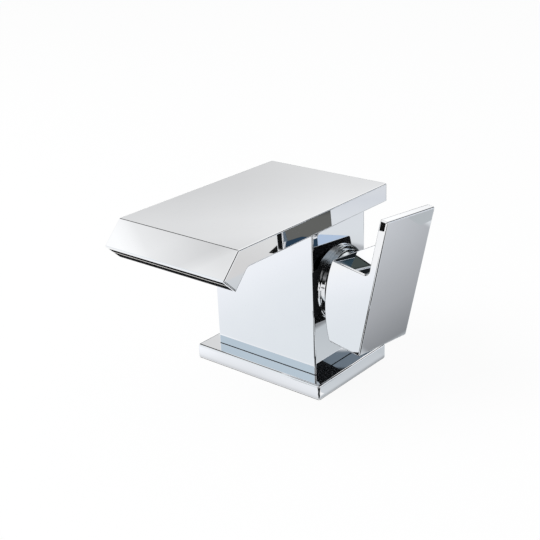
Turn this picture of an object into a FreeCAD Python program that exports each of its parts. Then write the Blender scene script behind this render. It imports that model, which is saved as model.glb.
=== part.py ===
import FreeCAD, Part
import math
import os

from FreeCAD import Vector

# A square basin mixer with a flat waterfall spout and a side lever.
# Lengths are millimetres and angles are degrees. The deck of the basin is the plane z = 0,
# the column's middle stands on the origin, the spout points to -Y and the lever is on +X.

# Clearances
overrun = 1.0              # how far a cutting tool passes the face that it opens
fit_gap = 0.05             # round a piece that is pushed into another
turning_gap = 0.08         # round a shaft that turns in its bore
film_gap = 0.05            # between the two polished discs
running_gap = 0.3          # between pieces that move past each other

# Base plate and what fastens it
base_width = 90.0
base_depth = 63.7
base_height = 8.6
base_forward = 0.8         # how far its middle stands in front of the column's
base_edge_radius = 1.3
gasket_width = 4.0
gasket_height = 2.0
gasket_corner_radius = 5.0
gasket_stand = 0.4         # how far its flange holds the plate off the deck
gasket_flange_inset = 0.15 # from the plate's edge to the flange
base_screw_x = 29.0
base_screw_y = 14.5
base_screw_radius = 2.0
base_screw_head_radius = 4.0
base_screw_sink = 0.3      # how deep the heads lie under the plate
base_screw_grip = 8.0      # length of thread in the column
base_screw_key = 2.5       # across the flats of the key hole
base_screw_key_depth = 1.4

# Column
overall_height = 104.0
body_width = 71.3
body_depth = 47.2
body_edge_radius = 0.8
body_foot_bevel = 0.4      # along the column's lower edge, a fine line over the plate
foot_radius = 19.5         # round foot that centres the column in the base plate
foot_recess = 0.5          # how far the foot ends above the deck
foot_seal_width = 1.6
foot_seal_rise = 4.0       # from the foot's end to the seal
seal_depth = 1.5           # how deep the ring seals lie in their grooves

# Water connections under the foot
stud_x = 9.0
stud_radius = 3.4          # core of an M8 thread
stud_depth = 14.0
inlet_spread = 8.0         # hot in front of the middle and cold behind it
inlet_radius = 4.5         # core of an M10 x 1 thread
inlet_depth = 12.0
waterway_radius = 2.8
waterway_wall = 4.0        # brass between the cartridge's seat and the upright waterways

# Spout, a flat box with a lip bent down at its mouth
spout_width = 82.7
spout_reach = 86.85        # from the column's middle to the bend, along the top
spout_overhang = 13.6      # how far it stands out behind the column
spout_thickness = 10.5
spout_wall = 1.8
spout_edge_radius = 0.8
lip_length = 16.84
lip_thickness = 11.5
lip_angle = 46.0           # below the level
bend_radius = 3.0          # in the corner under the bend
blade_thickness = 0.9      # dividing blade seen in the mouth
blade_run = 22.0           # how far the blade reaches back from the bend
baffle_place = 45.0        # from the column's middle forward
baffle_thickness = 1.6
baffle_hole_radius = 2.2
baffle_hole_pitch = 8.2
baffle_hole_count = 9
nipple_radius = 6.5        # outlet that the column holds up into the spout
nipple_stand = 1.5         # how far it stands above the spout's floor
spout_seal_gap = 1.4       # brass between the outlet and its seal
spout_seal_width = 1.8
spout_screw_x = 27.0
spout_screw_y = 15.0
spout_screw_radius = 2.0
spout_screw_head_radius = 3.6
spout_screw_head_height = 2.2
spout_screw_grip = 8.0
spout_screw_key = 2.5
spout_screw_key_depth = 1.3

# Cartridge, lying along X behind the column's lever side
cartridge_height = 56.5    # of its axis above the deck
cartridge_radius = 17.5
pivot_inset = 9.15         # from the column's lever side in to the lever's pivot
largest_tilt = 25.0        # of the lever, from closed to full flow
turn_each_way = 45.0       # of the lever, from mixed to hot or to cold
stem_drop = 9.5            # from the pivot in to the stem's ball
ball_radius = 2.6
stem_neck_radius = 1.7
stem_heel = 3.0            # thick part of the stem behind the pivot
stem_radius = 4.5
stem_round_reach = 21.0    # from the pivot out to the square end
stem_square = 8.0
pin_radius = 1.75
carrier_floor = 1.5
carrier_thickness = 6.0
disc_radius = 13.4
moving_disc_thickness = 3.5
mixing_recess_radius = 6.4
mixing_recess_rise = 1.0   # from the moving disc's middle up to the recess's
mixing_recess_depth = 1.8
fixed_disc_thickness = 3.5
cartridge_base_thickness = 3.6
inlet_port_place = 8.9     # from the axis to the hot and cold ports
inlet_port_angle = 45.0    # each side of the upright
inlet_port_radius = 2.4
mixed_port_radius = 3.0
port_seal_width = 1.3
port_seal_height = 1.4
peg_radius = 1.5
peg_length = 2.0
peg_place = 13.5           # from the axis to the locating pegs
rotor_flange = 3.0
rotor_radius = 10.6
web_thickness = 1.9        # shoulder of the housing over the rotor's flange
neck_radius = 13.0
neck_reach = 7.0           # from the pivot out to the end of the neck
stop_thickness = 1.6
lug_radius = 12.0
lug_half_angle = 10.0
lug_play = 1.0             # left between the lug and each stop

# Ring nut and the shroud that hides it
nut_radius = 19.0
nut_set_in = 1.5           # from the column's side in to the end of the thread
collar_radius = 16.6
collar_stand = 2.8         # how far the nut stands out of the column
notch_width = 4.0
notch_depth = 1.1
notch_pairs = 2
grip_ring_place = 0.85     # from the column's side out to the ring's middle
grip_ring_width = 1.1
grip_ring_depth = 1.1
shroud_wall = 1.4
shroud_ring_radii = (21.3, 20.6, 18.9)
shroud_ring_widths = (1.3, 1.2, 1.6)
shroud_edge_bevel = 0.25
dome_step = 1.1            # from the last ring in to the dome

# Lever: a tall plate with a square block behind it, in one piece
lever_width = 45.0
lever_reach = 43.97        # from the pivot to the plate's outer face
lever_rise = 53.9          # from the stem's axis to the plate's top
lever_plate_thickness = 4.7
block_half_height = 22.5   # the stem enters the middle of the block
block_near = 15.0          # from the pivot to the nearest point of the block
block_arc_radius = 70.0    # hollowed line of the block's side towards the column
block_arc_rise = 11.1      # from the stem's axis up to the middle of that line
lever_notch_radius = 2.5
lever_edge_radius = 0.9
lever_gap = 0.65           # between the shroud and the pocket that turns over it
socket_floor = 2.0         # metal between the stem's socket and the plate
grub_reach = 31.5          # from the pivot to the grub screw
grub_radius = 2.5
grub_length = 8.0
grub_key = 2.5
grub_key_depth = 3.0
plug_radius = 4.0
plug_height = 3.0

# The lever as it is shown: a little open, and turned a little towards cold
shown_tilt = 9.27
shown_turn = -5.85

# Places that follow from the sizes
lever_side = body_width / 2
spout_underside = overall_height - spout_thickness
base_screw_start = gasket_stand + base_screw_sink
gasket_inset = (base_depth / 2 - base_forward - foot_radius - gasket_width) / 2
spout_back = body_depth / 2 + spout_overhang
pivot_x = lever_side - pivot_inset
pivot = Vector(pivot_x, 0, cartridge_height)
disc_swing = stem_drop * math.sin(math.radians(largest_tilt / 2))
disc_shift = stem_drop * math.sin(math.radians(shown_tilt)) - disc_swing
ball_x = pivot_x - stem_drop
carrier_start = ball_x - ball_radius - running_gap - carrier_floor
carrier_end = carrier_start + carrier_thickness
moving_disc_start = carrier_start - moving_disc_thickness
fixed_disc_start = moving_disc_start - film_gap - fixed_disc_thickness
seat_x = fixed_disc_start - cartridge_base_thickness
cavity_radius = disc_radius + disc_swing + running_gap
flange_start = carrier_end + running_gap
flange_end = flange_start + rotor_flange
web_start = flange_end + running_gap
shoulder_x = web_start + web_thickness
neck_end = pivot_x + neck_reach
rotor_end = neck_end + stop_thickness
waterway_x = seat_x - waterway_wall - waterway_radius
inlet_port_y = inlet_port_place * math.sin(math.radians(inlet_port_angle))
inlet_port_rise = inlet_port_place * math.cos(math.radians(inlet_port_angle))
dome_start_x = lever_side + sum(shroud_ring_widths)
dome_radius = math.hypot(dome_start_x - pivot_x, shroud_ring_radii[-1] - dome_step)
socket_end = lever_reach - lever_plate_thickness - socket_floor


def block(width, depth, bottom, top, middle_y=0):
    """An upright block about x = 0."""
    return Part.makeBox(width, depth, top - bottom, Vector(-width / 2, middle_y - depth / 2, bottom))


def upright_bar(radius, x, y, bottom, top):
    return Part.makeCylinder(radius, top - bottom, Vector(x, y, bottom))


def level_bar(radius, start, end, y=0, rise=0):
    """A round bar along X, beside and above the cartridge's axis by y and rise."""
    middle = Vector(start, y, cartridge_height + rise)
    return Part.makeCylinder(radius, end - start, middle, Vector(1, 0, 0))


def level_ring(outer, inner, start, end):
    return level_bar(outer, start, end).cut(level_bar(inner, start - overrun, end + overrun))


def upright_ring(outer, inner, x, y, bottom, top):
    bore = upright_bar(inner, x, y, bottom - overrun, top + overrun)
    return upright_bar(outer, x, y, bottom, top).cut(bore)


def turned(outline, start=0, sweep=360):
    """Places (along the axis, away from it), turned about the cartridge's axis from its upper side."""
    points = [Vector(along, 0, cartridge_height + away) for along, away in outline]
    return turned_face(Part.Face(Part.makePolygon(points + points[:1])), start, sweep)


def turned_face(face, start=0, sweep=360):
    face.rotate(pivot, Vector(1, 0, 0), start)
    return face.revolve(pivot, Vector(1, 0, 0), sweep)


def hexagon(across_flats, x, y, bottom, top):
    """A six-sided upright prism, for a key hole."""
    corner = across_flats / math.sqrt(3)
    turns = [math.radians(60 * side) for side in range(7)]
    points = [Vector(x + corner * math.cos(turn), y + corner * math.sin(turn), bottom) for turn in turns]
    return Part.Face(Part.makePolygon(points)).extrude(Vector(0, 0, top - bottom))


def rounded_face(corners):
    """A flat face through (point, radius) corners, with each corner rounded by its radius."""
    bends = []
    for index, (point, radius) in enumerate(corners):
        back = (corners[index - 1][0] - point).normalize()
        ahead = (corners[(index + 1) % len(corners)][0] - point).normalize()
        half_angle = back.getAngle(ahead) / 2
        reach = radius / math.tan(half_angle)
        depth = radius / math.sin(half_angle) - radius
        middle = point + (back + ahead).normalize() * depth
        bends.append((point + back * reach, middle, point + ahead * reach))
    edges = []
    for index, (start, middle, end) in enumerate(bends):
        edges.append(Part.makeLine(bends[index - 1][2], start))
        if corners[index][1] > 0:
            edges.append(Part.Arc(start, middle, end).toShape())
    return Part.Face(Part.Wire(edges))


def edges_at(shape, places):
    """The edges whose middle lies at one of the places."""
    return [edge for edge in shape.Edges
            if any(edge.CenterOfMass.distanceToPoint(place) < fit_gap for place in places)]


def four_places(x, y):
    return [(side * x, end * y) for side in (-1, 1) for end in (-1, 1)]


def as_turned(shape):
    """A piece that turns with the lever, as shown."""
    return shape.rotated(pivot, Vector(1, 0, 0), shown_turn)


def as_tilted(shape):
    """A piece that turns and tilts with the lever, as shown."""
    return as_turned(shape.rotated(pivot, Vector(0, 1, 0), shown_tilt))


# Base

def base_screw(x, y, gap):
    """A countersunk screw, or with a gap the hole that it goes through."""
    shank = base_screw_radius + gap
    head = base_screw_head_radius + gap
    cone_height = base_screw_head_radius - base_screw_radius
    cone_end = base_screw_start + cone_height
    cone = Part.makeCone(head, shank, cone_height, Vector(x, y, base_screw_start))
    return cone.fuse(upright_bar(shank, x, y, cone_end, base_height + base_screw_grip + gap))


def make_base_screws():
    screws = []
    for x, y in four_places(base_screw_x, base_screw_y):
        key_top = base_screw_start + base_screw_key_depth
        key = hexagon(base_screw_key, x, y, base_screw_start - overrun, key_top)
        screws.append(base_screw(x, y, 0).cut(key))
    return Part.makeCompound(screws)


def gasket_block(inset, gap, height):
    """A block on the deck, set in from the plate's edge and larger by a gap."""
    width = base_width - 2 * inset + 2 * gap
    depth = base_depth - 2 * inset + 2 * gap
    return block(width, depth, 0, height, -base_forward)


def gasket_frame(gap):
    """The gasket's frame, or with a gap the groove that it lies in."""
    outer = gasket_block(gasket_inset, gap, gasket_height + gap)
    inner = gasket_block(gasket_inset + gasket_width, -gap, gasket_height + gap)
    outer = outer.makeFillet(gasket_corner_radius, upright_edges(outer))
    return outer.cut(inner)


def make_base_gasket():
    """The frame with a thin flange, which shows as a dark line under the plate."""
    flange = gasket_block(gasket_flange_inset, 0, gasket_stand)
    flange = flange.makeFillet(base_edge_radius, upright_edges(flange))
    flange = flange.cut(gasket_block(gasket_inset + gasket_width, 0, gasket_stand))
    return gasket_frame(0).fuse(flange).removeSplitter()


def upright_edges(shape):
    return [edge for edge in shape.Edges if edge.BoundBox.ZLength > edge.Length / 2]


def make_base_plate():
    plate = block(base_width, base_depth, gasket_stand, base_height, -base_forward)
    shown_edges = [edge for edge in plate.Edges if edge.BoundBox.ZMax > base_height - fit_gap]
    plate = plate.makeFillet(base_edge_radius, shown_edges)
    plate = plate.cut(upright_bar(foot_radius + fit_gap, 0, 0, -overrun, base_height + overrun))
    plate = plate.cut(gasket_frame(fit_gap))
    for x, y in four_places(base_screw_x, base_screw_y):
        plate = plate.cut(base_screw(x, y, fit_gap))
        plate = plate.cut(upright_bar(base_screw_head_radius + fit_gap, x, y, -overrun, base_screw_start))
    return plate


# Column

def foot_seal_ring(gap):
    """The seal round the foot, or with a gap its groove."""
    inner = foot_radius - seal_depth
    bottom = foot_recess + foot_seal_rise
    top = bottom + foot_seal_width
    return upright_ring(foot_radius, inner - gap, 0, 0, bottom - gap, top + gap)


def spout_seal_ring(gap):
    """The seal round the outlet, or with a gap its groove."""
    inner = nipple_radius + spout_seal_gap
    bottom = spout_underside - seal_depth
    outer = inner + spout_seal_width
    return upright_ring(outer + gap, inner - gap, waterway_x, 0, bottom - gap, spout_underside)


def inlets():
    """Hot and cold ways: threaded mouth, upright bore, then level to the cartridge's seat."""
    mouth_end = foot_recess + inlet_depth
    bore_end = cartridge_height + inlet_port_rise + inlet_port_radius
    ways = []
    for side in (-1, 1):
        y = side * inlet_spread
        port_y = side * inlet_port_y
        ways.append(upright_bar(inlet_radius, waterway_x, y, foot_recess - overrun, mouth_end))
        ways.append(upright_bar(waterway_radius, waterway_x, y, foot_recess, bore_end))
        ways.append(level_bar(inlet_port_radius, waterway_x, seat_x + overrun, port_y, inlet_port_rise))
    return ways


def outlet():
    """Mixed water's way: level from the cartridge's seat, then up through the outlet."""
    bottom = cartridge_height - mixed_port_radius
    top = spout_underside + spout_wall + nipple_stand
    return [level_bar(mixed_port_radius, waterway_x, seat_x + overrun),
            upright_bar(waterway_radius, waterway_x, 0, bottom, top + overrun)]


def pegs(gap):
    """Two pegs that keep the cartridge from turning, or with a gap their holes."""
    start = seat_x - peg_length - gap
    return [level_bar(peg_radius + gap, start, seat_x, side * peg_place) for side in (-1, 1)]


def make_body_column():
    column = block(body_width, body_depth, base_height, spout_underside)
    column = column.makeFillet(body_edge_radius, upright_edges(column))
    lower_edges = [edge for edge in column.Edges if edge.BoundBox.ZMax < base_height + fit_gap]
    column = column.makeChamfer(body_foot_bevel, lower_edges)
    column = column.fuse(upright_bar(foot_radius, 0, 0, foot_recess, base_height))
    nipple_top = spout_underside + spout_wall + nipple_stand
    column = column.fuse(upright_bar(nipple_radius, waterway_x, 0, spout_underside, nipple_top))
    hollows = [level_bar(cartridge_radius + fit_gap, seat_x, lever_side),
               level_bar(nut_radius + fit_gap, shoulder_x, lever_side + overrun),
               upright_bar(stud_radius, stud_x, 0, foot_recess - overrun, foot_recess + stud_depth),
               foot_seal_ring(fit_gap),
               spout_seal_ring(fit_gap)]
    hollows += inlets() + outlet() + pegs(fit_gap)
    for x, y in four_places(base_screw_x, base_screw_y):
        hollows.append(base_screw(x, y, fit_gap))
    for x, y in four_places(spout_screw_x, spout_screw_y):
        hollows.append(spout_screw_shank(x, y, fit_gap))
    for hollow in hollows:
        column = column.cut(hollow)
    return column.removeSplitter()


# Spout

def lip_point(bend_depth, along):
    """A place in the lip, by its depth under the outer face and its distance from the bend."""
    angle = math.radians(lip_angle)
    bend = Vector(0, -spout_reach, overall_height)
    inward = Vector(0, math.sin(angle), -math.cos(angle))
    outward = Vector(0, -math.cos(angle), -math.sin(angle))
    return bend + inward * bend_depth + outward * along


def bend_point(depth, lip_depth):
    """Where a level at a depth under the top meets the lip's slope at its own depth."""
    angle = math.radians(lip_angle)
    return lip_point(lip_depth, (depth - lip_depth * math.cos(angle)) / math.sin(angle))


def spout_slab(half_width, back, lip_end, upper, lower, upper_radius, lower_radius):
    """The spout's side outline between an upper and a lower level, drawn out to its width.

    Each level is a pair: its depth under the spout's top and its depth in the lip."""
    corners = [(Vector(0, back, overall_height - lower[0]), 0),
               (Vector(0, back, overall_height - upper[0]), 0),
               (bend_point(*upper), upper_radius),
               (lip_point(upper[1], lip_end), 0),
               (lip_point(lower[1], lip_end), 0),
               (bend_point(*lower), lower_radius)]
    face = rounded_face(corners)
    face.translate(Vector(-half_width, 0, 0))
    return face.extrude(Vector(2 * half_width, 0, 0))


def above_underside(height):
    """The level at a height above the spout's underside, along the lip too."""
    return (spout_thickness - height, lip_thickness - height)


def make_spout_cover():
    half = spout_width / 2
    shell = spout_slab(half, spout_back, lip_length, (0, 0), above_underside(0), 0, bend_radius)
    outlines = [edge for edge in shell.Edges if edge.BoundBox.XLength < half]
    corners = [Vector(0, spout_back, overall_height), bend_point(0, 0), lip_point(0, lip_length)]
    shell = shell.makeFillet(spout_edge_radius, outlines + edges_at(shell, corners))
    room = spout_slab(half - spout_wall, spout_back - spout_wall, lip_length + overrun,
                      (spout_wall, spout_wall), above_underside(-overrun), 0, 0)
    return shell.cut(room)


def make_spout_floor():
    half = spout_width / 2 - spout_wall - fit_gap
    floor = spout_slab(half, spout_back - spout_wall - fit_gap, lip_length, above_underside(spout_wall),
                       above_underside(0), bend_radius + spout_wall, bend_radius)
    top = spout_underside + spout_wall
    hole = upright_bar(nipple_radius + fit_gap, waterway_x, 0, spout_underside - overrun, top + overrun)
    floor = floor.cut(hole)
    for x, y in four_places(spout_screw_x, spout_screw_y):
        floor = floor.cut(spout_screw_shank(x, y, fit_gap))
    return floor


def make_flow_blade():
    slot = (lip_thickness - 2 * spout_wall - blade_thickness) / 2
    under = spout_wall + slot
    over = under + blade_thickness
    half = spout_width / 2 - spout_wall - fit_gap
    return spout_slab(half, blade_run - spout_reach, lip_length, above_underside(over),
                      above_underside(under), bend_radius + over, bend_radius + under)


def make_flow_baffle():
    width = spout_width - 2 * spout_wall - 2 * fit_gap
    bottom = spout_underside + spout_wall
    top = overall_height - spout_wall
    baffle = block(width, baffle_thickness, bottom, top - fit_gap, -baffle_place)
    first = -baffle_hole_pitch * (baffle_hole_count - 1) / 2
    start_y = -baffle_place - baffle_thickness
    for number in range(baffle_hole_count):
        centre = Vector(first + number * baffle_hole_pitch, start_y, (bottom + top) / 2)
        hole = Part.makeCylinder(baffle_hole_radius, 2 * baffle_thickness, centre, Vector(0, 1, 0))
        baffle = baffle.cut(hole)
    return baffle


def spout_screw_shank(x, y, gap):
    """The screw's shank, or with a gap its hole."""
    return upright_bar(spout_screw_radius + gap, x, y, spout_underside - spout_screw_grip - gap,
                       spout_underside + spout_wall)


def make_spout_screws():
    seat = spout_underside + spout_wall
    top = seat + spout_screw_head_height
    screws = []
    for x, y in four_places(spout_screw_x, spout_screw_y):
        head = upright_bar(spout_screw_head_radius, x, y, seat, top)
        key = hexagon(spout_screw_key, x, y, top - spout_screw_key_depth, top + overrun)
        screws.append(head.fuse(spout_screw_shank(x, y, 0)).cut(key))
    return Part.makeCompound(screws)


# Cartridge

def ports():
    """The hot, cold and mixed ports: radius, and place beside and above the cartridge's axis."""
    return [(inlet_port_radius, -inlet_port_y, inlet_port_rise),
            (inlet_port_radius, inlet_port_y, inlet_port_rise),
            (mixed_port_radius, 0, 0)]


def make_cartridge_base():
    base = level_bar(cartridge_radius, seat_x, fixed_disc_start)
    for peg in pegs(0):
        base = base.fuse(peg)
    for radius, y, rise in ports():
        base = base.cut(level_bar(radius, seat_x - overrun, fixed_disc_start + overrun, y, rise))
        seal_seat = radius + port_seal_width + fit_gap
        base = base.cut(level_bar(seal_seat, seat_x - overrun, seat_x + port_seal_height, y, rise))
    return base


def make_port_seals():
    seals = []
    for radius, y, rise in ports():
        outer = level_bar(radius + port_seal_width, seat_x, seat_x + port_seal_height, y, rise)
        bore = level_bar(radius, seat_x - overrun, seat_x + port_seal_height + overrun, y, rise)
        seals.append(outer.cut(bore))
    return Part.makeCompound(seals)


def make_fixed_disc():
    disc = level_bar(cavity_radius - fit_gap, fixed_disc_start, fixed_disc_start + fixed_disc_thickness)
    for radius, y, rise in ports():
        hole_end = moving_disc_start + overrun
        disc = disc.cut(level_bar(radius, fixed_disc_start - overrun, hole_end, y, rise))
    return disc


def make_moving_disc():
    """Its recess always reaches the mixed port, and the hot and cold ports once the lever opens."""
    disc = level_bar(disc_radius, moving_disc_start, carrier_start, 0, disc_shift)
    recess_end = moving_disc_start + mixing_recess_depth
    recess_rise = disc_shift + mixing_recess_rise
    recess = level_bar(mixing_recess_radius, moving_disc_start - overrun, recess_end, 0, recess_rise)
    return as_turned(disc.cut(recess))


def make_disc_carrier():
    carrier = level_bar(disc_radius, carrier_start, carrier_end, 0, disc_shift)
    half = ball_radius + running_gap
    ball_rise = disc_shift + disc_swing
    corner = Vector(carrier_start + carrier_floor, -half, cartridge_height + ball_rise - half)
    return as_turned(carrier.cut(Part.makeBox(carrier_thickness, 2 * half, 2 * half, corner)))


def make_cartridge_housing():
    bore = rotor_radius + turning_gap
    return turned([(fixed_disc_start, cavity_radius), (fixed_disc_start, cartridge_radius),
                   (shoulder_x, cartridge_radius), (shoulder_x, neck_radius), (neck_end, neck_radius),
                   (neck_end, bore), (web_start, bore), (web_start, cavity_radius)])


def make_stem_rotor():
    """The turning cage: it carries the pivot pin and leaves the stem room to tilt."""
    flange_radius = cavity_radius - running_gap
    rotor = turned([(flange_start, 0), (flange_start, flange_radius), (flange_end, flange_radius),
                    (flange_end, rotor_radius), (rotor_end, rotor_radius), (rotor_end, 0)])
    lug_start = neck_end + running_gap
    lug_outline = [(lug_start, stem_radius), (lug_start, lug_radius),
                   (rotor_end, lug_radius), (rotor_end, stem_radius)]
    rotor = rotor.fuse(turned(lug_outline, -90 - lug_half_angle, 2 * lug_half_angle))
    tilt = math.radians(largest_tilt)
    half_slot = (rotor_end - pivot_x) * math.tan(tilt) + stem_radius / math.cos(tilt) + running_gap
    half_width = stem_radius + running_gap
    corner = Vector(flange_start - overrun, -half_width, cartridge_height - half_slot)
    slot_length = rotor_end - flange_start + 2 * overrun
    rotor = rotor.cut(Part.makeBox(slot_length, 2 * half_width, 2 * half_slot, corner))
    return as_turned(rotor.cut(pin_bar(pin_radius + fit_gap, rotor_radius + overrun)).removeSplitter())


def pin_bar(radius, half_length):
    return Part.makeCylinder(radius, 2 * half_length, pivot - Vector(0, half_length, 0), Vector(0, 1, 0))


def make_pivot_pin():
    return as_turned(pin_bar(pin_radius, rotor_radius - running_gap))


def make_lever_stem():
    stem = Part.makeSphere(ball_radius, Vector(ball_x, 0, cartridge_height))
    stem = stem.fuse(level_bar(stem_neck_radius, ball_x, pivot_x))
    stem = stem.fuse(level_bar(stem_radius, pivot_x - stem_heel, pivot_x + stem_round_reach))
    square_start = pivot_x + stem_round_reach
    corner = Vector(square_start, -stem_square / 2, cartridge_height - stem_square / 2)
    square_length = pivot_x + socket_end - running_gap - square_start
    stem = stem.fuse(Part.makeBox(square_length, stem_square, stem_square, corner))
    return as_tilted(stem.cut(pin_bar(pin_radius + fit_gap, stem_radius + overrun)))


def make_temperature_stop():
    """A ring on the neck, with a window that lets the rotor's lug turn from hot to cold."""
    ring = level_ring(neck_radius, rotor_radius + running_gap, neck_end, rotor_end)
    window_radius = lug_radius + running_gap
    half_window = turn_each_way + lug_half_angle + lug_play
    window = turned([(neck_end - overrun, stem_radius), (neck_end - overrun, window_radius),
                     (rotor_end + overrun, window_radius), (rotor_end + overrun, stem_radius)],
                    -90 - half_window, 2 * half_window)
    return ring.cut(window)


# Nut and shroud

def grip_ring(gap):
    """The ring that holds the shroud on the nut, or with a gap its groove."""
    middle = lever_side + grip_ring_place
    half = grip_ring_width / 2 + gap
    return level_ring(collar_radius, collar_radius - grip_ring_depth - gap, middle - half, middle + half)


def make_cartridge_nut():
    bore = neck_radius + running_gap
    thread_end = lever_side - nut_set_in
    nut_end = lever_side + collar_stand
    nut = turned([(shoulder_x, bore), (shoulder_x, nut_radius), (thread_end, nut_radius),
                  (thread_end, collar_radius), (nut_end, collar_radius), (nut_end, bore)])
    nut = nut.cut(grip_ring(fit_gap))
    for pair in range(notch_pairs):
        corner = Vector(nut_end - notch_depth, -collar_radius - overrun, cartridge_height - notch_width / 2)
        notch = Part.makeBox(notch_depth + overrun, 2 * (collar_radius + overrun), notch_width, corner)
        nut = nut.cut(notch.rotated(pivot, Vector(1, 0, 0), 180 * pair / notch_pairs))
    return nut


def dome_point(radius, polar):
    """A place on a sphere about the pivot, at an angle from the cartridge's axis."""
    return pivot + Vector(radius * math.cos(polar), 0, radius * math.sin(polar))


def dome_arc(radius, start, end):
    middle = dome_point(radius, (start + end) / 2)
    return Part.Arc(dome_point(radius, start), middle, dome_point(radius, end)).toShape()


def make_cartridge_shroud():
    """Stepped rings against the column, then a dome that the lever's pocket turns over."""
    bore = collar_radius + fit_gap
    inner_radius = dome_radius - shroud_wall
    along = lever_side
    places = [Vector(along, 0, cartridge_height + bore)]
    ring_edges = []
    for radius, width in zip(shroud_ring_radii, shroud_ring_widths):
        places.append(Vector(along, 0, cartridge_height + radius))
        along += width
        places.append(Vector(along, 0, cartridge_height + radius))
        ring_edges.append((along, radius))
    dome_start = math.acos((dome_start_x - pivot_x) / dome_radius)
    dome_end = math.radians(largest_tilt) + math.asin((stem_radius + running_gap) / inner_radius)
    inner_start = math.asin(bore / inner_radius)
    places.append(dome_point(dome_radius, dome_start))
    lines = [Part.makeLine(start, end) for start, end in zip(places, places[1:])]
    outer_arc = dome_arc(dome_radius, dome_start, dome_end)
    mouth = Part.makeLine(dome_point(dome_radius, dome_end), dome_point(inner_radius, dome_end))
    inner_arc = dome_arc(inner_radius, dome_end, inner_start)
    closing = Part.makeLine(dome_point(inner_radius, inner_start), places[0])
    shroud = turned_face(Part.Face(Part.Wire(lines + [outer_arc, mouth, inner_arc, closing])))
    rims = edges_at_rims(shroud, ring_edges)
    return shroud.makeChamfer(shroud_edge_bevel, rims)


def edges_at_rims(shape, rims):
    """The round edges about the axis with the given (place, radius)."""
    found = []
    for edge in shape.Edges:
        if not isinstance(edge.Curve, Part.Circle):
            continue
        for place, radius in rims:
            if abs(edge.Curve.Center.x - place) < fit_gap and abs(edge.Curve.Radius - radius) < fit_gap:
                found.append(edge)
    return found


# Lever

def block_arc_point(rise):
    """A place on the block's hollowed line, at a height above the stem's axis."""
    across = math.sqrt(block_arc_radius ** 2 - (rise - block_arc_rise) ** 2)
    return pivot + Vector(block_near + block_arc_radius - across, 0, rise)


def pocket_radius():
    """The hollow in the block turns clear of the dome and of each ring's rim."""
    along = lever_side - pivot_x
    reach = dome_radius
    for radius, width in zip(shroud_ring_radii, shroud_ring_widths):
        along += width
        reach = max(reach, math.hypot(along, radius))
    return reach + lever_gap


def lever_blank():
    """The lever's side outline, drawn out to its width, with its edges eased."""
    outer_top = pivot + Vector(lever_reach, 0, lever_rise)
    inner_top = outer_top - Vector(lever_plate_thickness, 0, 0)
    notch = Vector(inner_top.x, 0, cartridge_height + block_half_height)
    notch_up = notch + Vector(0, 0, lever_notch_radius)
    notch_in = notch - Vector(lever_notch_radius, 0, 0)
    ease = lever_notch_radius * (1 - math.sqrt(0.5))
    notch_middle = notch + Vector(-ease, 0, ease)
    near_top = block_arc_point(block_half_height)
    near_foot = block_arc_point(-block_half_height)
    outer_foot = pivot + Vector(lever_reach, 0, -block_half_height)
    outline = [Part.makeLine(outer_top, inner_top),
               Part.makeLine(inner_top, notch_up),
               Part.Arc(notch_up, notch_middle, notch_in).toShape(),
               Part.makeLine(notch_in, near_top),
               Part.Arc(near_top, block_arc_point(block_arc_rise), near_foot).toShape(),
               Part.makeLine(near_foot, outer_foot),
               Part.makeLine(outer_foot, outer_top)]
    face = Part.Face(Part.Wire(outline))
    face.translate(Vector(0, -lever_width / 2, 0))
    blank = face.extrude(Vector(0, lever_width, 0))
    outlines = [edge for edge in blank.Edges if edge.BoundBox.YLength < lever_width / 2]
    cross_edges = edges_at(blank, [outer_top, inner_top, near_top, near_foot, outer_foot])
    return blank.makeFillet(lever_edge_radius, outlines + cross_edges)


def make_lever_handle():
    handle = lever_blank().cut(Part.makeSphere(pocket_radius(), pivot))
    half = stem_square / 2 + fit_gap
    handle = handle.cut(Part.makeBox(socket_end, 2 * half, 2 * half, pivot - Vector(0, half, half)))
    foot = cartridge_height - block_half_height
    grub_x = pivot_x + grub_reach
    handle = handle.cut(upright_bar(grub_radius + fit_gap, grub_x, 0, foot - overrun, cartridge_height))
    handle = handle.cut(upright_bar(plug_radius, grub_x, 0, foot - overrun, foot + plug_height))
    return as_tilted(handle)


def make_grub_screw():
    top = cartridge_height - stem_square / 2
    bottom = top - grub_length
    grub_x = pivot_x + grub_reach
    key = hexagon(grub_key, grub_x, 0, bottom - overrun, bottom + grub_key_depth)
    return as_tilted(upright_bar(grub_radius, grub_x, 0, bottom, top).cut(key))


def make_grub_plug():
    foot = cartridge_height - block_half_height
    plug = upright_bar(plug_radius - fit_gap, pivot_x + grub_reach, 0, foot, foot + plug_height)
    return as_tilted(plug)


pieces = {
    "base_plate": make_base_plate,
    "base_gasket": make_base_gasket,
    "base_screws": make_base_screws,
    "body_column": make_body_column,
    "foot_seal": lambda: foot_seal_ring(0),
    "spout_cover": make_spout_cover,
    "spout_floor": make_spout_floor,
    "flow_blade": make_flow_blade,
    "flow_baffle": make_flow_baffle,
    "spout_seal": lambda: spout_seal_ring(0),
    "spout_screws": make_spout_screws,
    "cartridge_base": make_cartridge_base,
    "port_seals": make_port_seals,
    "fixed_disc": make_fixed_disc,
    "moving_disc": make_moving_disc,
    "disc_carrier": make_disc_carrier,
    "cartridge_housing": make_cartridge_housing,
    "stem_rotor": make_stem_rotor,
    "pivot_pin": make_pivot_pin,
    "lever_stem": make_lever_stem,
    "temperature_stop": make_temperature_stop,
    "cartridge_nut": make_cartridge_nut,
    "shroud_grip_ring": lambda: grip_ring(0),
    "cartridge_shroud": make_cartridge_shroud,
    "lever_handle": make_lever_handle,
    "grub_screw": make_grub_screw,
    "grub_plug": make_grub_plug,
}

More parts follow.
